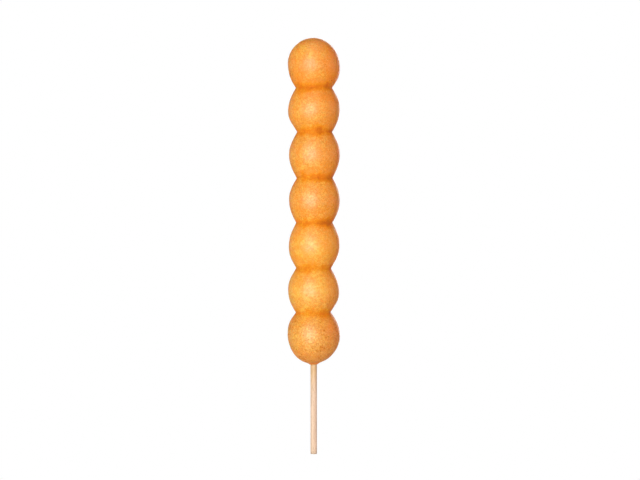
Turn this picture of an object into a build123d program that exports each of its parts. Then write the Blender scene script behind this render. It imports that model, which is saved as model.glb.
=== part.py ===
from build123d import *
from math import sqrt
import os

# A waffle on a stick: round beads baked in a row around a wooden skewer.
# It stands upright with +Z up the stick. The origin is the middle of the stick's butt end.
# All lengths are in millimetres.

os.makedirs("parts", exist_ok=True)

# The stick, from its flat butt end to its blunt point. It is bare below the waffle, where a hand
# holds it, and the waffle covers its point by crown_cover.
stick_diameter = 4.0
stick_point_length = 12.0
stick_point_diameter = 1.4
butt_bevel = 0.3
grip_length = 55.0
crown_cover = 5.0

# The waffle's beads. The lowest and the highest bead have round ends of their own heights.
bead_diameter = 31.0
bead_pitch = 27.6
neck_diameter = 21.8
end_bead_rise = 13.1
foot_height = 18.7
crown_height = 17.1
crease_radius = 0.6

# How wide each bead and each neck is, from the foot up, against bead_diameter and neck_diameter
bead_width_shares = (1.04, 1.0, 0.995, 1.0, 1.0, 1.01, 1.03)
neck_width_shares = (0.98, 0.99, 1.02, 1.02, 0.98, 1.02)

# A bead's side follows two straight guides: upright from the equator to a corner, then slanting to
# the end. These are the corner's height against the whole height, how far along the slant the round
# part ends, and how much the corner pulls the round part outwards.
bead_side_shares = (0.36, 0.48, 0.96)
end_bead_side_shares = (0.45, 0.6, 0.96)
foot_side_shares = (0.65, 0.72, 0.83)

# The browned crust, and the small flat lip that it leaves around the stick
crust_thickness = 1.0
foot_lip = 0.4

# The gap that the stick leaves all round when it is drawn out of the waffle
stick_clearance = 0.05

# How far a cut runs past what it cuts
overrun = 2.0

# Heights up the stick
lowest_equator = grip_length + foot_height
lowest_neck = lowest_equator + end_bead_rise
neck_heights = [lowest_neck + i * bead_pitch for i in range(len(neck_width_shares))]
highest_equator = neck_heights[-1] + end_bead_rise
waffle_top = highest_equator + crown_height
equator_heights = [lowest_equator]
equator_heights += [(low + high) / 2 for low, high in zip(neck_heights, neck_heights[1:])]
equator_heights += [highest_equator]
stick_length = waffle_top - crown_cover
stick_point_base = stick_length - stick_point_length

# Radii
stick_radius = stick_diameter / 2
stick_point_radius = stick_point_diameter / 2
bead_radii = [bead_diameter / 2 * share for share in bead_width_shares]
neck_radii = [neck_diameter / 2 * share for share in neck_width_shares]
foot_radius = stick_radius + stick_clearance + foot_lip


def half_bead(equator, end, side_shares):
    """Draws a bead's side: a round part from the equator, then a straight flank tangent to it."""
    corner_share, round_share, pull_share = side_shares
    corner = (equator[0], equator[1] + (end[1] - equator[1]) * corner_share)
    flank_start = (
        corner[0] + (end[0] - corner[0]) * round_share,
        corner[1] + (end[1] - corner[1]) * round_share,
    )
    Bezier(equator, corner, flank_start, weights=[1, pull_share, 1])
    Line(flank_start, end)


def waffle_half(inset):
    """Half of the waffle's lengthwise section, set in from the mould's outline by a thickness."""
    foot = (foot_radius, grip_length + inset)
    equators = [(r - inset, z) for r, z in zip(bead_radii, equator_heights)]
    necks = [(r - inset, z) for r, z in zip(neck_radii, neck_heights)]
    crown = (0, waffle_top - inset)
    with BuildSketch(Plane.XZ) as half:
        with BuildLine():
            Line((0, foot[1]), foot)
            half_bead(equators[0], foot, foot_side_shares)
            half_bead(equators[0], necks[0], end_bead_side_shares)
            for neck, equator, next_neck in zip(necks, equators[1:], necks[1:]):
                half_bead(equator, neck, bead_side_shares)
                half_bead(equator, next_neck, bead_side_shares)
            half_bead(equators[-1], necks[-1], end_bead_side_shares)
            Bezier(equators[-1], (equators[-1][0], crown[1]), crown, weights=[1, sqrt(1 / 2), 1])
            Line(crown, (0, foot[1]))
        make_face()
        creases = [v for v in half.vertices() if any(Vector(*neck) == Vector(v) for neck in necks)]
        fillet(creases, radius=crease_radius)
    return half.sketch


def stick_half(gap, start):
    """Half of the stick's lengthwise section from a height upwards, wider and longer by a gap."""
    with BuildSketch(Plane.XZ) as half:
        with BuildLine():
            Polyline(
                (0, start),
                (stick_radius + gap, start),
                (stick_radius + gap, stick_point_base),
                (stick_point_radius + gap, stick_length + gap),
                (0, stick_length + gap),
                close=True,
            )
        make_face()
    return half.sketch


stick_section = stick_half(0, 0)
stick_hole_section = stick_half(stick_clearance, grip_length - overrun)
mould_section = waffle_half(0)
crumb_section = waffle_half(crust_thickness)

# The wooden skewer
with BuildPart() as stick:
    revolve(stick_section, axis=Axis.Z)
    chamfer(stick.edges().group_by(Axis.Z)[0], length=butt_bevel)
stick.part.label = "stick"

# The browned outside, with the hole that the stick leaves in its foot
with BuildPart() as crust:
    revolve(mould_section, axis=Axis.Z)
    revolve(crumb_section, axis=Axis.Z, mode=Mode.SUBTRACT)
    revolve(stick_hole_section, axis=Axis.Z, mode=Mode.SUBTRACT)
crust.part.label = "crust"

# The soft inside, between the crust and the stick
with BuildPart() as crumb:
    revolve(crumb_section, axis=Axis.Z)
    revolve(stick_hole_section, axis=Axis.Z, mode=Mode.SUBTRACT)
crumb.part.label = "crumb"

for piece in (stick, crust, crumb):
    export_step(piece.part, f"parts/{piece.part.label}.step")

baked_length = waffle_top - grip_length
print(f"waffle {baked_length:.1f} mm long, over a stick {stick_length:.1f} mm long")
print(f"waffle volume {(crust.part.volume + crumb.part.volume) / 1000:.1f} cm3")
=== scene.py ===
import math

import bmesh
import bpy
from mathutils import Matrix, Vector, noise
from mathutils.geometry import interpolate_bezier


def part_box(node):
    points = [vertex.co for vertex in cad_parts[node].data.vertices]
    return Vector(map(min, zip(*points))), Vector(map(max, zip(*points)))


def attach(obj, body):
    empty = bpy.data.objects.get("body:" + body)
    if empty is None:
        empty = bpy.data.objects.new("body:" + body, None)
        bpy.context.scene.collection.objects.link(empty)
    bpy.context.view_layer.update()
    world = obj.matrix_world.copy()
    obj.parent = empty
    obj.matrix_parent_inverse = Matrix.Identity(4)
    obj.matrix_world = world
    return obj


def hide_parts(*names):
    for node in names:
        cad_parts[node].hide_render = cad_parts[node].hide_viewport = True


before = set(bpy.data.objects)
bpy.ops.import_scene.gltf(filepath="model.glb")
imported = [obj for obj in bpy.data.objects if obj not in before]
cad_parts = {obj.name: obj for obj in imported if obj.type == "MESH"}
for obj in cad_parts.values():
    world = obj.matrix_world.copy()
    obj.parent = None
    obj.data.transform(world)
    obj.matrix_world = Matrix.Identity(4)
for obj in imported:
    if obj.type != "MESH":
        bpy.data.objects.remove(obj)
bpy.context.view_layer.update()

# Meshes are shaped in millimetres and brought to metres when they are finished.
mm = 0.001
weldDistance = 0.001      # points nearer to each other than this become one


def easeStep(value, low, high):
    # 0 below low, 1 above high, and a smooth rise between them
    share = min(1.0, max(0.0, (value - low) / (high - low)))
    return share * share * (3 - 2 * share)


def readTable(table, height):
    # eases from one (height, value) row to the next
    if height <= table[0][0]:
        return table[0][1]
    for (lowHeight, lowValue), (highHeight, highValue) in zip(table, table[1:]):
        if height < highHeight:
            return lowValue + (highValue - lowValue) * easeStep(height, lowHeight, highHeight)
    return table[-1][1]


def spinChain(points, columns):
    # turns a chain of (radius, height) points once round the stick's axis
    shape = bmesh.new()
    chain = [shape.verts.new((radius, 0, height)) for radius, height in points]
    links = [shape.edges.new(pair) for pair in zip(chain, chain[1:])]
    bmesh.ops.spin(shape, geom=chain + links, cent=(0, 0, 0), axis=(0, 0, 1), dvec=(0, 0, 0),
                   angle=math.tau, steps=columns, use_merge=True, use_duplicate=False)
    bmesh.ops.remove_doubles(shape, verts=shape.verts, dist=weldDistance)
    bmesh.ops.recalc_face_normals(shape, faces=shape.faces)
    return shape


def makePiece(name, shape, material=None):
    for face in shape.faces:
        face.smooth = True
    bmesh.ops.scale(shape, vec=(mm, mm, mm), verts=shape.verts)
    mesh = bpy.data.meshes.new(name)
    shape.to_mesh(mesh)
    shape.free()
    piece = bpy.data.objects.new(name, mesh)
    bpy.context.scene.collection.objects.link(piece)
    if material:
        mesh.materials.append(material)
    return piece


def roundCage(shape, levels):
    # rounds a cage with a Subdivision Surface modifier and takes the result back as a bmesh
    cage = makePiece("cage", shape)
    rounder = cage.modifiers.new("Subdivision", "SUBSURF")
    rounder.levels = rounder.render_levels = levels
    graph = bpy.context.evaluated_depsgraph_get()
    mesh = bpy.data.meshes.new_from_object(cage.evaluated_get(graph))
    rounded = bmesh.new()
    rounded.from_mesh(mesh)
    bmesh.ops.scale(rounded, vec=(1 / mm, 1 / mm, 1 / mm), verts=rounded.verts)
    for made in (cage.data, mesh):
        bpy.data.meshes.remove(made)
    return rounded


def reportShape(name, shape):
    volume = round(shape.calc_volume(signed=True) / 1000, 2)
    openEdges = sum(not edge.is_manifold for edge in shape.edges)
    print(name, len(shape.faces), "faces, volume", volume, "cm3,", openEdges, "open edges")


def addNode(tree, kind, inputs=None, **settings):
    node = tree.nodes.new("ShaderNode" + kind)
    for name, value in settings.items():
        setattr(node, name, value)
    for name, value in (inputs or {}).items():
        if isinstance(value, bpy.types.NodeSocket):
            tree.links.new(value, node.inputs[name])
        else:
            node.inputs[name].default_value = value
    return node


def addNoise(tree, place, scale, detail, roughness=0.5, distortion=0.0, output=0):
    sockets = {"Vector": place, "Scale": scale, "Detail": detail, "Roughness": roughness,
               "Distortion": distortion}
    return addNode(tree, "TexNoise", sockets).outputs[output]


def readLayer(tree, name):
    # a value that the mesh keeps at each of its points
    return addNode(tree, "Attribute", attribute_name=name).outputs["Fac"]


def mixColours(tree, share, first, second, blendType="MIX"):
    sockets = {0: share, 6: first, 7: second}      # where a Mix node takes its factor and its two colours
    return addNode(tree, "Mix", sockets, data_type="RGBA", blend_type=blendType).outputs[2]


def easeRange(tree, value, low, high, newLow=0.0, newHigh=1.0):
    # eases a value that runs from low to high into one that runs from newLow to newHigh
    sockets = {"Value": value, "From Min": low, "From Max": high, "To Min": newLow, "To Max": newHigh}
    return addNode(tree, "MapRange", sockets, interpolation_type="SMOOTHSTEP").outputs[0]


def compute(tree, operation, first, second):
    return addNode(tree, "Math", {0: first, 1: second}, operation=operation).outputs[0]


def multiply(tree, value, *others):
    for other in others:
        value = compute(tree, "MULTIPLY", value, other)
    return value


def addShare(tree, value, other, share):
    return compute(tree, "ADD", value, multiply(tree, other, share))


def newMaterial(name):
    material = bpy.data.materials.new(name)
    material.use_nodes = True
    material.node_tree.nodes.clear()
    return material, material.node_tree, addNode(material.node_tree, "TexCoord").outputs["Object"]


# In the finishes, a Noise holds a noise's scale, detail, roughness and distortion, and a Range holds a
# value's low and high end and what these two become. In the shapes, a Place shifts a noise, so that no
# two patterns fall together.

bakedPores = {
    "bendNoise": (1400.0, 2.0),
    "bendReach": 0.0005,                      # how far a pore's rim is bent, in metres
    "patchNoise": (170.0, 2.0),
    "patchRange": (0.35, 0.7, 0.45, 1.0),     # the pores are smaller in some patches
    "sizeRange": (0.0, 1.0, 0.12, 0.48),      # from the smallest pore to the largest, against their spacing
    "depthRange": (0.0, 1.0, 0.5, 1.0),
    "rim": 0.2,                               # how wide a pore's soft rim is
    "grainFineness": (3.0, 0.6),              # detail and roughness
    "grainHeight": 0.6,
    "peelFineness": (2.0,),
    "peelHeight": 0.9,
}


def buildBakedPores():
    # the fine pores and grain of baked batter, used by the crust and by the crumb
    look = bakedPores
    group = bpy.data.node_groups.new("bakedPores", "ShaderNodeTree")
    sockets = {"INPUT": ("Pore Scale", "Grain Scale", "Amount"), "OUTPUT": ("Pores", "Height")}
    for inOut, names in sockets.items():
        for name in names:
            group.interface.new_socket(name, in_out=inOut, socket_type="NodeSocketFloat")
    start = group.nodes.new("NodeGroupInput").outputs
    end = group.nodes.new("NodeGroupOutput").inputs
    place = addNode(group, "TexCoord").outputs["Object"]
    bend = addNoise(group, place, *look["bendNoise"], output="Color")
    bend = addNode(group, "VectorMath", {0: bend, "Scale": look["bendReach"]}, operation="SCALE").outputs[0]
    bent = addNode(group, "VectorMath", {0: place, 1: bend}, operation="ADD").outputs[0]
    cells = addNode(group, "TexVoronoi", {"Vector": bent, "Scale": start["Pore Scale"]}).outputs
    chance = addNode(group, "SeparateColor", {0: cells["Color"]}).outputs
    patches = addNoise(group, place, *look["patchNoise"])
    reach = multiply(group, start["Amount"], easeRange(group, patches, *look["patchRange"]),
                     easeRange(group, chance[0], *look["sizeRange"]))
    depth = compute(group, "DIVIDE", compute(group, "SUBTRACT", reach, cells["Distance"]), look["rim"])
    pores = addNode(group, "Clamp", {0: depth}).outputs[0]
    pores = multiply(group, pores, easeRange(group, chance[1], *look["depthRange"]))
    grain = addNoise(group, place, start["Grain Scale"], *look["grainFineness"])
    peel = addNoise(group, place, start["Pore Scale"], *look["peelFineness"])
    height = addShare(group, multiply(group, grain, look["grainHeight"]), peel, look["peelHeight"])
    group.links.new(pores, end["Pores"])
    group.links.new(compute(group, "SUBTRACT", height, pores), end["Height"])
    return group


crustLook = {
    "gold": (0.82, 0.30, 0.010, 1),      # the smooth skin of a bead
    "pale": (0.85, 0.43, 0.040, 1),      # spots that baked less
    "deep": (0.83, 0.195, 0.005, 1),     # patches that baked more, and the painted shade on the right side and along both sides
    "brown": (0.62, 0.185, 0.005, 1),    # mottles of browned sugar
    "crease": (0.70, 0.175, 0.004, 1),   # the fat's stain in the folds between the beads, together with a painted shade there
    "fold": (0.56, 0.125, 0.004, 1),     # the bottom of each fold, its darkest painted shade and stain
    "speck": (0.50, 0.12, 0.004, 1),     # tiny toasted specks
    "blotchNoise": (230.0, 4.0, 0.6, 0.7),
    "streakNoise": (780.0, 3.0, 0.65, 0.4),
    "mottleNoise": (640.0, 6.0, 0.72, 0.25),
    "grainNoise": (1700.0, 3.0, 0.6),
    "broadNoise": (70.0, 2.0),
    "poreScale": 880.0,
    "grainScale": 2600.0,
    "speckRange": (0.0, 1.0, 0.5, 1.5),  # small specks where the dots are few, large where they are many
    "speckShare": 0.9,
    "paleByDots": 0.45,                  # how much the dots add to the pale spots, mottles and grain
    "mottleByDots": 0.1,
    "grainByDots": 0.06,
    "paleRange": (0.40, 0.68),
    "butterRange": (0.9, 1.2, 1.0, 0.5),        # thick butter hides the streaks and mottles
    "streakRange": (0.44, 0.66, 0.0, 0.95),
    "mottleRange": (0.44, 0.76),
    "grainRange": (0.47, 0.68, 0.0, 0.95),
    "toastAndShadeRange": (0.35, 0.65, 0.15, 0.7),
    "stainAndShadeUneven": 2.2,                  # how ragged the edge of the stain and painted shade is
    "stainAndShadeRange": (0.0, 1.2),
    "stainAndShadeEdge": (0.0, 0.5),
    "foldPower": 5.0,                    # how narrow the dark bottom of a fold is
    "foldRange": (0.4, 0.62, 0.2, 0.8),
    "roughRange": (0.3, 0.7, 0.55, 0.7),
    "glaze": 0.95,                       # the thin coat of butter on the beads, and where it is thinner
    "glazeInCreases": (0.05, 0.7, 1.0, 0.0),
    "glazeOnStreaks": (0.38, 0.62, 1.05, 0.55),
    "glazeOnGrain": (0.36, 0.62, 1.0, 0.55),
    "relief": {"Strength": 0.8, "Distance": 0.15 * mm},
    "skin": {"Specular IOR Level": 0.15, "Coat IOR": 2.1, "Coat Roughness": 0.55, "Subsurface Weight": 0.4,
             "Subsurface Radius": (1.0, 0.35, 0.08), "Subsurface Scale": 2.0 * mm},
}


def crustFinish(pores):
    look = crustLook
    material, tree, place = newMaterial("goldenCrust")
    blotch = addNoise(tree, place, *look["blotchNoise"])
    streak = addNoise(tree, place, *look["streakNoise"])
    mottle = addNoise(tree, place, *look["mottleNoise"])
    grain = addNoise(tree, place, *look["grainNoise"])
    broad = addNoise(tree, place, *look["broadNoise"])
    crease = readLayer(tree, "crease")
    toastAndShade = readLayer(tree, "toastAndShade")
    dots = readLayer(tree, "dots")
    buttered = readLayer(tree, "buttered")
    kept = compute(tree, "SUBTRACT", 1.0, readLayer(tree, "faded"))
    speckle = addNode(tree, "Group", {
        "Pore Scale": look["poreScale"], "Grain Scale": look["grainScale"],
        "Amount": easeRange(tree, dots, *look["speckRange"])}, node_tree=pores).outputs

    lightly = addShare(tree, blotch, compute(tree, "SUBTRACT", dots, toastAndShade), look["paleByDots"])
    colour = mixColours(tree, easeRange(tree, lightly, *look["paleRange"]), look["gold"], look["pale"])
    shown = multiply(tree, easeRange(tree, buttered, *look["butterRange"]), kept)
    streaked = multiply(tree, easeRange(tree, streak, *look["streakRange"]), shown)
    colour = mixColours(tree, streaked, colour, look["deep"])
    mottled = easeRange(tree, addShare(tree, mottle, dots, look["mottleByDots"]), *look["mottleRange"])
    colour = mixColours(tree, multiply(tree, mottled, shown), colour, look["brown"])
    grainy = easeRange(tree, addShare(tree, grain, dots, look["grainByDots"]), *look["grainRange"])
    colour = mixColours(tree, multiply(tree, grainy, kept), colour, look["brown"])
    # the toast holds real browning and also the painted shade on the right side and along both sides
    brownedAndShaded = multiply(tree, toastAndShade, easeRange(tree, broad, *look["toastAndShadeRange"]))
    colour = mixColours(tree, brownedAndShaded, colour, look["deep"])
    uneven = compute(tree, "SUBTRACT", mottle, 0.5)        # a noise runs round 0.5
    # the fat's stain and a painted shade in each fold, and a darker painted shade at its bottom
    stainAndShade = easeRange(tree, addShare(tree, crease, uneven, look["stainAndShadeUneven"]), *look["stainAndShadeRange"])
    stainAndShade = multiply(tree, stainAndShade, easeRange(tree, crease, *look["stainAndShadeEdge"]))
    colour = mixColours(tree, stainAndShade, colour, look["crease"])
    foldBottomStainAndShade = compute(tree, "POWER", crease, look["foldPower"])
    foldBottomStainAndShade = multiply(tree, foldBottomStainAndShade, easeRange(tree, streak, *look["foldRange"]))
    colour = mixColours(tree, foldBottomStainAndShade, colour, look["fold"])
    specked = multiply(tree, speckle["Pores"], look["speckShare"])
    colour = mixColours(tree, specked, colour, look["speck"])

    rough = easeRange(tree, streak, *look["roughRange"])
    glaze = multiply(tree, easeRange(tree, crease, *look["glazeInCreases"]), look["glaze"],
                     easeRange(tree, streak, *look["glazeOnStreaks"]), buttered,
                     easeRange(tree, grain, *look["glazeOnGrain"]),
                     compute(tree, "SUBTRACT", 1.0, speckle["Pores"]))
    relief = addNode(tree, "Bump", {"Height": speckle["Height"], **look["relief"]}).outputs[0]
    skin = addNode(tree, "BsdfPrincipled", {"Base Color": colour, "Roughness": rough, "Normal": relief,
                                            "Coat Weight": glaze, **look["skin"]})
    addNode(tree, "OutputMaterial", {0: skin.outputs[0]})
    return material


crumbLook = {
    "soft": (0.93, 0.66, 0.26, 1),
    "shade": (0.78, 0.41, 0.10, 1),
    "pores": {"Pore Scale": 420.0, "Grain Scale": 1500.0, "Amount": 1.0},
    "cloudNoise": (320.0, 3.0),
    "cloudRange": (0.4, 0.7, 0.0, 0.5),
    "relief": {"Strength": 0.8, "Distance": 0.4 * mm},
    "skin": {"Roughness": 0.95, "Specular IOR Level": 0.05, "Subsurface Weight": 0.2,
             "Subsurface Radius": (1.0, 0.6, 0.3), "Subsurface Scale": 1.5 * mm},
}


def crumbFinish(pores):
    look = crumbLook
    material, tree, place = newMaterial("paleCrumb")
    sponge = addNode(tree, "Group", look["pores"], node_tree=pores).outputs
    cloud = easeRange(tree, addNoise(tree, place, *look["cloudNoise"]), *look["cloudRange"])
    colour = mixColours(tree, cloud, look["soft"], look["shade"])
    colour = mixColours(tree, sponge["Pores"], colour, look["shade"])
    relief = addNode(tree, "Bump", {"Height": sponge["Height"], **look["relief"]}).outputs[0]
    soft = addNode(tree, "BsdfPrincipled", {"Base Color": colour, "Normal": relief, **look["skin"]})
    addNode(tree, "OutputMaterial", {0: soft.outputs[0]})
    return material


woodLook = {
    "light": (0.73, 0.482, 0.36, 1),
    "dark": (0.58, 0.363, 0.255, 1),
    "line": (0.37, 0.21, 0.125, 1),
    "pore": (0.25, 0.145, 0.08, 1),
    "oiledAndShaded": (0.86, 0.77, 0.50, 1),      # tints the wood that the batter's fat has soaked, and paints the waffle's shadow and orange glow on it
    "batter": (0.72, 0.42, 0.13, 1),     # baked batter that stays on the drawn stick
    "crumbs": (0.86, 0.60, 0.26, 1),
    "cut": (0.74, 0.77, 0.75, 1),        # tints the cut end and the wood that hands have touched
    "grainStretch": (1.0, 1.0, 0.022),   # draws the grain and the fibres out along the stick
    "dashStretch": (1.0, 1.0, 0.09),     # draws the short pores out less
    "grainNoise": (1900.0, 5.0, 0.68),
    "fibreNoise": (5200.0, 3.0, 0.65),
    "dashNoise": (4300.0, 1.0),
    "cloudNoise": (60.0, 2.0),
    "smearNoise": (520.0, 4.0, 0.65),
    "grainRange": (0.4, 0.66, 0.0, 0.9),
    "fibreRange": (0.52, 0.72, 0.0, 0.65),
    "dashRange": (0.66, 0.74, 0.0, 0.7),
    "soakRange": (0.25, 0.75, 0.7, 1.0),
    "filmRange": (0.4, 0.64, 0.15, 0.75),
    "stuckRange": (0.58, 0.66),
    "grainHeight": 0.6,
    "fibreHeight": 0.4,
    "stuckHeight": 1.5,
    "roughRange": (0.0, 1.0, 0.62, 0.48),       # oiled wood is smoother than dry wood
    "relief": {"Strength": 0.5, "Distance": 0.08 * mm},
    "skin": {"Specular IOR Level": 0.35},
}


def woodFinish():
    look = woodLook
    material, tree, place = newMaterial("skewerWood")
    along = addNode(tree, "Mapping", {"Vector": place, "Scale": look["grainStretch"]}).outputs[0]
    short = addNode(tree, "Mapping", {"Vector": place, "Scale": look["dashStretch"]}).outputs[0]
    grain = addNoise(tree, along, *look["grainNoise"])
    fibre = addNoise(tree, along, *look["fibreNoise"])
    dash = addNoise(tree, short, *look["dashNoise"])
    cloud = addNoise(tree, place, *look["cloudNoise"])
    smear = addNoise(tree, place, *look["smearNoise"])
    oiledAndShaded = readLayer(tree, "oiledAndShaded")
    buried = readLayer(tree, "buried")
    colour = mixColours(tree, easeRange(tree, grain, *look["grainRange"]), look["light"], look["dark"])
    colour = mixColours(tree, easeRange(tree, fibre, *look["fibreRange"]), colour, look["line"])
    colour = mixColours(tree, easeRange(tree, dash, *look["dashRange"]), colour, look["pore"])
    # the fat's soak, with a painted shadow and orange glow of the waffle just below it
    soakedAndShaded = multiply(tree, oiledAndShaded, easeRange(tree, cloud, *look["soakRange"]))
    colour = mixColours(tree, soakedAndShaded, colour, look["oiledAndShaded"], "MULTIPLY")
    film = multiply(tree, buried, easeRange(tree, smear, *look["filmRange"]))
    colour = mixColours(tree, film, colour, look["batter"])
    stuck = multiply(tree, buried, easeRange(tree, smear, *look["stuckRange"]))
    colour = mixColours(tree, stuck, colour, look["crumbs"])
    colour = mixColours(tree, readLayer(tree, "cutEnd"), colour, look["cut"], "MULTIPLY")
    height = addShare(tree, multiply(tree, grain, look["grainHeight"]), fibre, look["fibreHeight"])
    height = addShare(tree, height, stuck, look["stuckHeight"])
    relief = addNode(tree, "Bump", {"Height": height, **look["relief"]}).outputs[0]
    rough = easeRange(tree, oiledAndShaded, *look["roughRange"])
    wood = addNode(tree, "BsdfPrincipled", {"Base Color": colour, "Roughness": rough, "Normal": relief,
                                            **look["skin"]})
    addNode(tree, "OutputMaterial", {0: wood.outputs[0]})
    return material


poreGroup = buildBakedPores()
goldenCrust = crustFinish(poreGroup)
paleCrumb = crumbFinish(poreGroup)
skewerWood = woodFinish()
print("finishes made")

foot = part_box("crust")[0].z / mm
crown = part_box("crust")[1].z / mm
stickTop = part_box("stick")[1].z / mm

# the outline that the crust and the crumb share, in millimetres
waffle = {
    # each bead from the foot up: height of its widest ring, radius, and how much its right side sags
    "beads": ((73.4, 16.1, 0.038), (100.0, 15.72, 0.05), (127.8, 15.62, -0.01), (155.8, 15.6, 0.02),
              (183.5, 15.6, 0.0), (210.9, 15.85, -0.04), (237.8, 16.02, 0.08)),
    # each crease from the foot up: height, radius, and how deep the fat's stain and the painted shade in it
    # are
    "creases": ((86.9, 10.8, 0.7), (114.1, 10.85, 0.75), (141.9, 11.35, 1.0), (169.2, 11.2, 0.9),
                (197.5, 10.85, 1.0), (224.3, 11.25, 1.0)),
    "creaseDip": 0.15,                   # a crease is cut this much deeper, because rounding fills it
    "crownDip": 0.08,                    # how far the crown stays below its full height
    "crownSag": 0.022,                   # how much the right side sags at the crown and at the foot
    "footSag": -0.04,
    # a side's corner, the end of its round part, and its fullness
    "bodySide": (0.36, 0.48, 0.653),
    "endSide": (0.45, 0.6, 0.653),
    "footSide": (0.65, 0.72, 0.605),
    "crownFullness": 0.542,
    "footStops": (0.35, 0.65, 0.88),     # the rings on the foot's straight part
    "footHollow": (0.14, 0.28, 0.168),   # how much each of them is hollowed towards the stick
    "lipRadius": 2.42,                   # the small flat lip round the hole that the stick leaves
    "holeRadius": 2.06,
    "wall": 1.0,                         # the crust's thickness
    # the baked row isn't quite straight: height, and the shift to the right or to the back
    "leanRight": ((55, 0.0), (73, 0.0), (87, -0.3), (100, -0.1), (114, -0.1), (128, 0.3), (142, 0.4),
                  (156, 0.4), (169, 0.6), (183, 0.4), (197, 0.55), (211, 0.1), (224, 0.2), (238, 0.12),
                  (248, 0.15), (255, 0.0)),
    "leanBack": ((55, 0.0), (87, 0.15), (128, -0.2), (169, 0.15), (211, -0.1), (238, 0.05), (255, 0.0)),
    "wander": 0.3,                       # how far a crease strays up and down on its way round
    "wanderTurn": 1.3,                   # how often it does so on one turn
    "wanderHeight": 20,                  # how far apart two creases stray alike
}

# how near a crease is, and how much the right side sags, at each height
creaseTable, sagTable = [(foot, 0.0)], [(foot, waffle["footSag"])]
for (ringHeight, _, sag), (creaseHeight, _, _) in zip(waffle["beads"], waffle["creases"]):
    creaseTable += [(ringHeight, 0.0), (creaseHeight, 1.0)]
    sagTable += [(ringHeight, sag), (creaseHeight, 0.0)]
ringHeight, _, sag = waffle["beads"][-1]
creaseTable += [(ringHeight, 0.0), (crown, 0.0)]
sagTable += [(ringHeight, sag), (crown, waffle["crownSag"])]


def beadSide(ring, end, shares, steps, stops):
    # a bead's side from its widest ring to its end: round first, then a straight flank
    cornerShare, roundShare, fullness = shares
    corner = Vector((ring.x, ring.y + (end.y - ring.y) * cornerShare))
    flank = corner.lerp(end, roundShare)
    pulls = ring.lerp(corner, fullness), flank.lerp(corner, fullness)
    return interpolate_bezier(ring, *pulls, flank, steps + 1) + [flank.lerp(end, stop) for stop in stops]


def waffleChain(inset, steps, endSteps, stops):
    # the waffle's outline from the foot to the crown, set in by a thickness
    dip = waffle["creaseDip"]
    rings = [Vector((radius - inset, height)) for height, radius, _ in waffle["beads"]]
    creases = [Vector((radius - inset - dip, height)) for height, radius, _ in waffle["creases"]]
    lip = Vector((waffle["lipRadius"], foot + inset))
    top = Vector((0, crown - inset - waffle["crownDip"]))
    footSide = beadSide(rings[0], lip, waffle["footSide"], endSteps, waffle["footStops"])
    for point, hollow in zip(footSide[-len(waffle["footStops"]):], waffle["footHollow"]):
        point.y += hollow
    chain = [lip] + footSide[::-1]
    chain += beadSide(rings[0], creases[0], waffle["endSide"], steps, stops)[1:]
    for lower, ring, upper in zip(creases, rings[1:], creases[1:]):
        chain += beadSide(ring, lower, waffle["bodySide"], steps, stops)[-2::-1]
        chain += beadSide(ring, upper, waffle["bodySide"], steps, stops)[1:]
    chain += beadSide(rings[-1], creases[-1], waffle["endSide"], steps, stops)[-2::-1]
    corner = Vector((rings[-1].x, top.y))
    pulls = [end.lerp(corner, waffle["crownFullness"]) for end in (rings[-1], top)]
    chain += interpolate_bezier(rings[-1], *pulls, top, endSteps + 1)[1:]
    return [tuple(point) for point in chain]


def settle(point):
    # leans, sags and wanders a point of the straight waffle into the baked one
    x, y, height = point
    turn = waffle["wanderTurn"]
    around = math.hypot(x, y) or 1.0
    wander = waffle["wander"] * readTable(creaseTable, height)
    stray = noise.noise(Vector((turn * x / around, turn * y / around, height / waffle["wanderHeight"])))
    return Vector((
        x + readTable(waffle["leanRight"], height),
        y + readTable(waffle["leanBack"], height),
        height - readTable(sagTable, height) * x + wander * stray,
    ))


crustShape = {
    # the steps of a side's round part and of a round end, and the stops along a flank
    "outline": (4, 12, (0.5, 0.9, 1.0)),
    "lining": (2, 6, (1.0,)),
    "columns": 48,                       # columns of the cage, and how often it is subdivided
    "roundings": 2,
    "rimRound": (0.12, 0.15),            # how wide and how high the hole's rim is rounded
    "liningClear": (0.1, 0.05),          # the lining starts this far outside and above the hole's wall
    "lumps": 0.1,                        # the height of the lumps and of the ripples, and their sizes
    "lumpSize": 8.5,
    "lumpSink": 0.6,                     # how far the lumps are sunk into the outline, against their height
    "ripples": 0.035,
    "rippleSize": 2.7,
    "seamRise": 0.13,                    # the faint line where the two halves of the mould met
    "seamHalf": 0.5,
    "seamUneven": (0.65, 0.35),          # its even and its uneven share, and how long its patches are
    "seamPatch": 4,
    "seamPlace": 3.1,
    "dimpleDepth": 0.13,
    "dimpleSpacing": 3.4,
    "dimpleDraw": 9.7,                   # takes the dimples apart, so that each draws its own chance
    "dimpleGaps": 0.45,                  # the share of places without a dimple
    "dimpleReach": (0.16, 0.16),         # the smallest one, and how much the largest is larger
    "nearStick": (2.7, 6.0),             # radii between which the foot round the stick becomes smooth
    "nearStickTop": 70,
}

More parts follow.
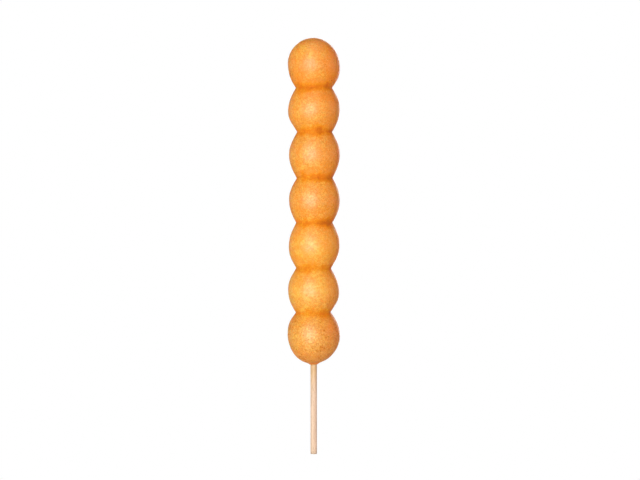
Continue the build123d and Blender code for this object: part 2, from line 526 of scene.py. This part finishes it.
crustBake = {
    # the fat's stain and the painted shade in a fold: how far they reach and stray, how deep and ragged
    # they are, and how much deeper on the right, where the painted shade is darker
    "foldReach": (2.8, 1.5),
    "foldStainAndShadeStrength": (0.95, 0.5, 0.2),
    # and a painted shade at the ends of a fold, where the mould's halves met: its width and height, how
    # deep it is, and how much more on the right
    "cornerSize": (3.2, 4),
    "cornerPaintedShade": (0.2, 0.1),
    "beadHalf": 16,                      # half of a bead's width
    # width, length, place and strength of the strands in which the fat crept
    "strands": ((5.5, 9, 3.0, 1.0), (2.1, 6, 9.0, 0.6)),
    # how much it baked everywhere and in patches, the painted shade on the right side, how much it baked
    # round the stick, and the browning with painted shade along the mould's edges
    "toastAndShade": 0.2,
    "toastInPatches": 0.3,
    "paintedShadeOnRight": 0.6,
    "toastNearStick": 0.7,
    "toastAndShadeOnSides": 0.4,
    "patchSize": 13,
    "patchPlace": (4.0, 1.0, 7.0),
    "sideHalf": 7,
    "rightFrom": (4, 12.5),              # how far from the middle the painted shade on the right side begins and is full
    # height, and how much more or less it baked there
    "toasts": ((57, 0.15), (70, -0.2), (95, -0.2), (150, 0.0), (214, 0.0), (220, 0.2), (224, 0.1),
               (228, 0.35), (233, 0.1), (243, 0.0), (254, 0.3)),
    # height, and how thickly the specks lie
    "speckles": ((60, 0.65), (72, 0.9), (78, 0.9), (90, 0.3), (104, 0.14), (128, 0.02), (150, 0.05)),
    "specklesAcross": (0.92, 0.02),      # in the middle, and how much more for each millimetre to the right
    "dotsOnRight": -0.5,                 # what the painted shade on the right side and a dimple add to the dots
    "dotsInDimples": 2.0,
    # height, and how far the mottles fade there
    "fades": ((87, 0.0), (98, 0.3), (114, 0.3), (128, 0.6), (142, 0.0)),
    # height, and how thickly the butter lies: most on the middle of a bead and least in a crease
    "butter": ((55, 0.65), (64, 0.9), (73.4, 1.08), (80.2, 0.85), (86.9, 0.52), (93.6, 0.85),
               (100.0, 1.06), (107.1, 0.92), (114.1, 0.52), (121.2, 0.65), (127.8, 0.97), (134.9, 0.86),
               (141.9, 0.52), (148.9, 0.6), (155.8, 1.0), (162.5, 0.82), (169.2, 0.52), (175.9, 0.6),
               (183.5, 1.03), (190.5, 0.93), (197.5, 0.52), (204.5, 0.65), (210.9, 1.0), (217.6, 0.8),
               (224.3, 0.52), (231.0, 0.48), (237.8, 0.95)),
    "butterOnRight": -0.35,              # what the right side adds, and where it begins and is full
    "butterFrom": (5, 15),
}


def dimpleAt(point):
    # shallow round dimples of uneven size, and none in most places
    distances, centres = noise.voronoi(point / crustShape["dimpleSpacing"])
    chance = noise.cell(centres[0] * crustShape["dimpleDraw"])
    smallest, growth = crustShape["dimpleReach"]
    reach = smallest + growth * chance
    if chance < crustShape["dimpleGaps"] or distances[0] > reach:
        return 0.0
    return (1 - (distances[0] / reach) ** 2) ** 2 * chance


def reliefAt(point, dimple):
    # how far lumps, ripples, the mould's seam and a dimple lift a point of the crust
    lump = crustShape["lumps"] * noise.noise(point / crustShape["lumpSize"])
    lump += crustShape["ripples"] * noise.noise(point / crustShape["rippleSize"])
    lump -= crustShape["lumpSink"] * crustShape["lumps"]
    even, uneven = crustShape["seamUneven"]
    spot = Vector((0, crustShape["seamPlace"], point.z / crustShape["seamPatch"]))
    seam = crustShape["seamRise"] * (even + uneven * noise.noise(spot))
    seam *= math.exp(-(point.y / crustShape["seamHalf"]) ** 2)
    return lump - crustShape["dimpleDepth"] * dimple + seam


def stainAndShadeAt(point):
    # how deeply fat has stained a point near a crease, together with the painted shade of the fold there
    bake = crustBake
    gap, stainAndShade = min((abs(point.z - height), stainAndShade) for height, _, stainAndShade in waffle["creases"])
    strand = 0.0
    for width, length, place, strength in bake["strands"]:
        spot = Vector((point.x / width, point.y / width, point.z / length + place))
        strand += strength * noise.noise(spot)
    reach, stray = bake["foldReach"]
    even, ragged, right = bake["foldStainAndShadeStrength"]
    fold = math.exp(-(gap / (reach + stray * strand)) ** 2)
    fold *= even + ragged * strand + right * point.x / bake["beadHalf"]
    # a painted shade at the fold's ends on the left and right sides
    wide, high = bake["cornerSize"]
    even, right = bake["cornerPaintedShade"]
    corner = math.exp(-(point.y / wide) ** 2 - (gap / high) ** 2)
    corner *= even + right * point.x / bake["beadHalf"]
    return stainAndShade * (fold + corner)


def makeLining():
    # the inner face of the crust, with as many columns as the rounded outside
    hole, wall = waffle["holeRadius"], waffle["wall"]
    outwards, upwards = crustShape["liningClear"]
    chain = [(hole + outwards, foot + wall + upwards)] + waffleChain(wall, *crustShape["lining"])[1:]
    inner = spinChain(chain, crustShape["columns"] * 2 ** crustShape["roundings"])
    bmesh.ops.reverse_faces(inner, faces=inner.faces)
    for vert in inner.verts:
        vert.co = settle(vert.co)
    lining = bpy.data.meshes.new("lining")
    inner.to_mesh(lining)
    inner.free()
    return lining


def makeCrust():
    bake = crustBake
    hole, wall = waffle["holeRadius"], waffle["wall"]
    rimWidth, rimHeight = crustShape["rimRound"]
    chain = [(hole, foot + wall), (hole, foot + 0.5 * wall), (hole, foot + rimHeight)]
    chain += [(hole + rimWidth, foot)] + waffleChain(0, *crustShape["outline"])
    shape = roundCage(spinChain(chain, crustShape["columns"]), crustShape["roundings"])
    shape.normal_update()
    names = ("crease", "toastAndShade", "dots", "buttered", "faded")
    crease, toastedAndShaded, dotted, buttered, faded = [shape.verts.layers.float.new(name) for name in names]
    moves = []
    for vert in shape.verts:
        point = vert.co.copy()
        dimple = dimpleAt(point)
        nearStick = 0.0
        if point.z < crustShape["nearStickTop"]:
            nearStick = 1 - easeStep(math.hypot(point.x, point.y), *crustShape["nearStick"])
        moves.append(vert.normal * reliefAt(point, dimple) * (1 - nearStick))
        onRight = easeStep(point.x, *bake["rightFrom"])
        onSide = math.exp(-(point.y / bake["sideHalf"]) ** 2)
        patch = noise.noise(point / bake["patchSize"] + Vector(bake["patchPlace"]))
        toastAndShade = bake["toastAndShade"] + bake["toastInPatches"] * patch + readTable(bake["toasts"], point.z)
        # a painted shade on the right side, where less light falls, is given as toast
        toastAndShade += bake["paintedShadeOnRight"] * onRight
        toastAndShade += bake["toastNearStick"] * nearStick
        # along both sides, where the mould's halves met, browning and a painted shade of the edges
        toastAndShade += bake["toastAndShadeOnSides"] * onSide
        even, growth = bake["specklesAcross"]
        dots = toastAndShade + bake["dotsOnRight"] * onRight
        dots += readTable(bake["speckles"], point.z) * (even + growth * point.x)
        dots += bake["dotsInDimples"] * crustShape["dimpleDepth"] * dimple
        butter = readTable(bake["butter"], point.z)
        butter += bake["butterOnRight"] * easeStep(point.x, *bake["butterFrom"])
        vert[crease] = stainAndShadeAt(point)
        vert[toastedAndShaded] = min(1.0, max(0.0, toastAndShade))
        vert[dotted] = min(1.0, max(0.0, dots))
        vert[buttered] = butter
        vert[faded] = readTable(bake["fades"], point.z)
    for vert, move in zip(shape.verts, moves):
        vert.co = settle(vert.co + move)

    lining = makeLining()
    shape.from_mesh(lining)
    bpy.data.meshes.remove(lining)
    rims = [edge for edge in shape.edges if edge.is_boundary]
    bmesh.ops.bridge_loops(shape, edges=rims)
    bmesh.ops.recalc_face_normals(shape, faces=shape.faces)
    reportShape("crust", shape)
    return makePiece("crust_shell", shape, goldenCrust)


crust = makeCrust()
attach(crust, "waffle")
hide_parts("crust")
print("crust made")

crumbShape = {
    "outline": (3, 6, (0.5, 1.0)),       # as in crustShape
    "columns": 48,
    "gap": 0.04,                         # between the crust and the crumb
    "boreRows": 150,
    "taper": 12,                         # how long the bore narrows over the stick's point
    "taperStops": (0.25, 0.5, 0.75),
    "tipRadius": 0.8,                    # how wide it ends, and how far above the point
    "tipRise": 0.1,
    "boreEdge": 0.05,                    # how near the bore's radius a point of its wall is
    "tornFrom": 0.5,                     # the wall is torn from this far above the foot
    "tornDepth": 0.28,                   # how deeply, how much of it, and how large the holes are
    "tornShare": 0.4,
    "tornSize": 1.3,
    "patchShare": 0.5,                   # how much more or less it is torn in patches, and their size
    "patchSize": 5,
}


def makeCrumb():
    hole, inset = waffle["holeRadius"], waffle["wall"] + crumbShape["gap"]
    tip, tipHeight = crumbShape["tipRadius"], stickTop + crumbShape["tipRise"]
    taper, rows = crumbShape["taper"], crumbShape["boreRows"]
    high, low = stickTop - taper, foot + inset
    chain = [(0, tipHeight), (tip, tipHeight)]
    chain += [(tip + (hole - tip) * stop, stickTop - taper * stop) for stop in crumbShape["taperStops"]]
    chain += [(hole, high + (low - high) * row / rows) for row in range(rows + 1)]
    chain += waffleChain(inset, *crumbShape["outline"])[1:]
    shape = spinChain(chain, crumbShape["columns"])
    for vert in shape.verts:
        point = vert.co.copy()
        around = math.hypot(point.x, point.y)
        if around >= hole + crumbShape["boreEdge"]:
            vert.co = settle(point)
        elif low + crumbShape["tornFrom"] < point.z < stickTop:
            torn = crumbShape["tornShare"] + noise.noise(point / crumbShape["tornSize"])
            torn += crumbShape["patchShare"] * noise.noise(point / crumbShape["patchSize"])
            depth = crumbShape["tornDepth"] * max(0.0, torn)
            vert.co += Vector((point.x, point.y, 0)) / around * depth
    reportShape("crumb", shape)
    return makePiece("crumb_soft", shape, paleCrumb)


crumb = makeCrumb()
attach(crumb, "waffle")
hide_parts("crumb")
print("crumb made")

skewer = {
    "radius": 2.0,
    "bevel": 0.3,              # the butt's bevel, and the share of it that is rounded off
    "bevelRound": 0.3,
    "buttRings": (0.8, 1.4),   # rings on the butt's flat end
    "buttEdge": 0.01,
    "firstRow": 1.0,           # the rows along the stick begin at this height
    "rowStep": 1.25,
    "taper": 12.0,
    "taperRows": 10,
    "pointRadius": 0.7,
    "pointBevel": 0.2,
    "columns": 40,
    "flutes": 0.025,           # how deep the flutes along the stick are, how many and how long
    "fluteCount": 5,
    "fluteLength": 40,
    "waves": 0.035,            # how much the stick's thickness varies along it
    "waveLength": 30,
    "wavePlace": 9,
    "worked": (0.5, 1.5),      # flutes and waves begin at the first radius and are full at the second
    "chips": 0.1,              # how deep splinters have left the butt's edge
    "chipCount": 1.7,
    "chipPlace": 3.0,
    "chipped": (1.2, 1.7),
    "strayHeight": 4,          # how far the edges of the stained parts stray, and how wide the tongues are
    "strayWidth": 2,
    "strayPlace": 5.5,
    "fineStray": 0.2,          # sharper edges stray by this share of it
    "oilAndShadeFrom": 36.0,           # the fat, and the painted shadow and glow of the waffle, reach down to this height
    "buriedEdge": 2,           # how soft the edge of the part is that the waffle hides
    "handled": (0.5, 3.5),     # the butt end is a little darker up to here, by this share
    "handledShare": 0.6,
}


def makeStick():
    radius, bevel, point = skewer["radius"], skewer["bevel"], skewer["pointRadius"]
    taper, taperRows = skewer["taper"], skewer["taperRows"]
    first, shoulder = skewer["firstRow"], stickTop - taper
    rows = round((shoulder - first) / skewer["rowStep"])
    narrowing, rise = point - radius, taper - skewer["pointBevel"]
    chain = [(0, 0)] + [(ring, 0) for ring in skewer["buttRings"]]
    rounded = skewer["bevelRound"] * bevel
    chain += [(radius - bevel, 0), (radius - rounded, rounded), (radius, bevel)]
    chain += [(radius, first + (shoulder - first) * row / rows) for row in range(rows + 1)]
    chain += [(radius + narrowing * row / taperRows, shoulder + rise * row / taperRows)
              for row in range(1, taperRows + 1)]
    chain += [(point - skewer["pointBevel"], stickTop), (0, stickTop)]
    shape = spinChain(chain, skewer["columns"])
    oiledAndShaded, buried, cut = [shape.verts.layers.float.new(name) for name in ("oiledAndShaded", "buried", "cutEnd")]
    for vert in shape.verts:
        x, y, height = vert.co
        around = math.hypot(x, y)
        if around:
            out = Vector((x / around, y / around, 0))
            count, chipCount = skewer["fluteCount"], skewer["chipCount"]
            flute = noise.noise(Vector((out.x * count, out.y * count, height / skewer["fluteLength"])))
            wave = noise.noise(Vector((out.x, out.y, height / skewer["waveLength"] + skewer["wavePlace"])))
            pull = skewer["flutes"] * (0.5 + 0.5 * flute) + skewer["waves"] * (0.5 + 0.5 * wave)
            vert.co -= out * pull * easeStep(around, *skewer["worked"])
            if height < bevel + skewer["buttEdge"]:
                chip = noise.noise(Vector((x * chipCount, y * chipCount, skewer["chipPlace"])))
                vert.co.z += skewer["chips"] * max(0.0, chip) * easeStep(around, *skewer["chipped"])
        width = skewer["strayWidth"]
        stray = noise.noise(Vector((x / width, y / width, skewer["strayPlace"]))) * skewer["strayHeight"]
        fineStray = skewer["fineStray"] * stray
        # the fat's soak and the painted shadow of the waffle, from below up to the foot
        vert[oiledAndShaded] = easeStep(height + stray, skewer["oilAndShadeFrom"], foot)
        vert[buried] = easeStep(height + fineStray, foot, foot + skewer["buriedEdge"])
        handled = 1 - easeStep(height + fineStray, *skewer["handled"])
        vert[cut] = max(1 - easeStep(height, 0.0, bevel), skewer["handledShare"] * handled)
    reportShape("stick", shape)
    return makePiece("stick_wood", shape, skewerWood)


stick = makeStick()
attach(stick, "skewer")
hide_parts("stick")
print("stick made")

studio = {
    "white": (1, 1, 1, 1),
    "roomGlow": 0.14,          # how much light the white room gives, although it is seen pure white
    "floorHeight": -0.15,
    "floorSize": 6.0,
    "floorSquares": 8,
    "floorNoise": (3.0, 2.0),
    "floorShades": ((0.6, 0.6, 0.6, 1), (0.63, 0.63, 0.63, 1)),
    "floorSkin": {"Roughness": 0.9, "Specular IOR Level": 0.1},
    # place, size, power and colour of each soft light
    "lights": (
        ("key", (-0.34, -1.075, 0.22), 0.78, 16.7, (0.9, 1.0, 0.95)),
        ("side", (-1.1, 0.75, 0.25), 1.4, 3.3, (1, 0.92, 0.9)),
        ("fill", (1.3, 0.0, 0.2), 1.8, 8.4, (1, 0.79, 0.67)),
        ("back", (0.2, 1.3, 0.35), 1.0, 18.0, (1, 1, 1)),
        ("top", (0.0, -0.3, 1.15), 0.9, 3.0, (1, 1, 1)),
    ),
    "aim": (0.0, 0.0, 0.155),  # the middle of the waffle, where all lights point
    "cameraPlace": (0.00385, -1.13, 0.15396),
    "cameraPitch": 1.149,      # how many degrees the camera looks down
    "lens": 103.8,
    "sensor": 36.0,            # the width of the camera's sensor, in millimetres as the lens is
}


def whiteForCamera(tree, plain, white):
    # the camera sees a pure white, and the object is lit by the plain shader
    rays = addNode(tree, "LightPath").outputs["Is Camera Ray"]
    return addNode(tree, "MixShader", {0: rays, 1: plain.outputs[0], 2: white.outputs[0]}).outputs[0]


def makeRoom():
    world = bpy.data.worlds.new("whiteRoom")
    bpy.context.scene.world = world
    world.use_nodes = True
    tree = world.node_tree
    tree.nodes.clear()
    seen = addNode(tree, "Background", {"Color": studio["white"], "Strength": 1.0})
    glow = addNode(tree, "Background", {"Color": studio["white"], "Strength": studio["roomGlow"]})
    addNode(tree, "OutputWorld", {0: whiteForCamera(tree, glow, seen)})


def makeFloor():
    material, tree, place = newMaterial("paleFloor")
    paper = mixColours(tree, addNoise(tree, place, *studio["floorNoise"]), *studio["floorShades"])
    plain = addNode(tree, "BsdfPrincipled", {"Base Color": paper, **studio["floorSkin"]})
    bright = addNode(tree, "Emission", {"Color": studio["white"], "Strength": 1.0})
    addNode(tree, "OutputMaterial", {0: whiteForCamera(tree, plain, bright)})
    shape = bmesh.new()
    squares = studio["floorSquares"]
    bmesh.ops.create_grid(shape, x_segments=squares, y_segments=squares, size=studio["floorSize"] / 2 / mm)
    bmesh.ops.translate(shape, vec=(0, 0, studio["floorHeight"] / mm), verts=shape.verts)
    return makePiece("floor", shape, material)


def addLight(name, place, size, power, colour):
    lamp = bpy.data.lights.new(name, "AREA")
    lamp.shape, lamp.size, lamp.energy, lamp.color = "DISK", size, power, colour
    light = bpy.data.objects.new(name, lamp)
    light.location = place
    light.rotation_euler = (Vector(studio["aim"]) - Vector(place)).to_track_quat("-Z", "Y").to_euler()
    bpy.context.scene.collection.objects.link(light)


def addCamera():
    camera = bpy.data.objects.new("camera", bpy.data.cameras.new("camera"))
    camera.data.lens = studio["lens"]
    camera.data.sensor_width = studio["sensor"]
    camera.location = studio["cameraPlace"]
    camera.rotation_euler = (math.radians(90 - studio["cameraPitch"]), 0, 0)
    bpy.context.scene.collection.objects.link(camera)
    bpy.context.scene.camera = camera


makeRoom()
floor = makeFloor()
for values in studio["lights"]:
    addLight(*values)
addCamera()
bpy.context.scene.view_settings.view_transform = "Standard"
print("studio made")
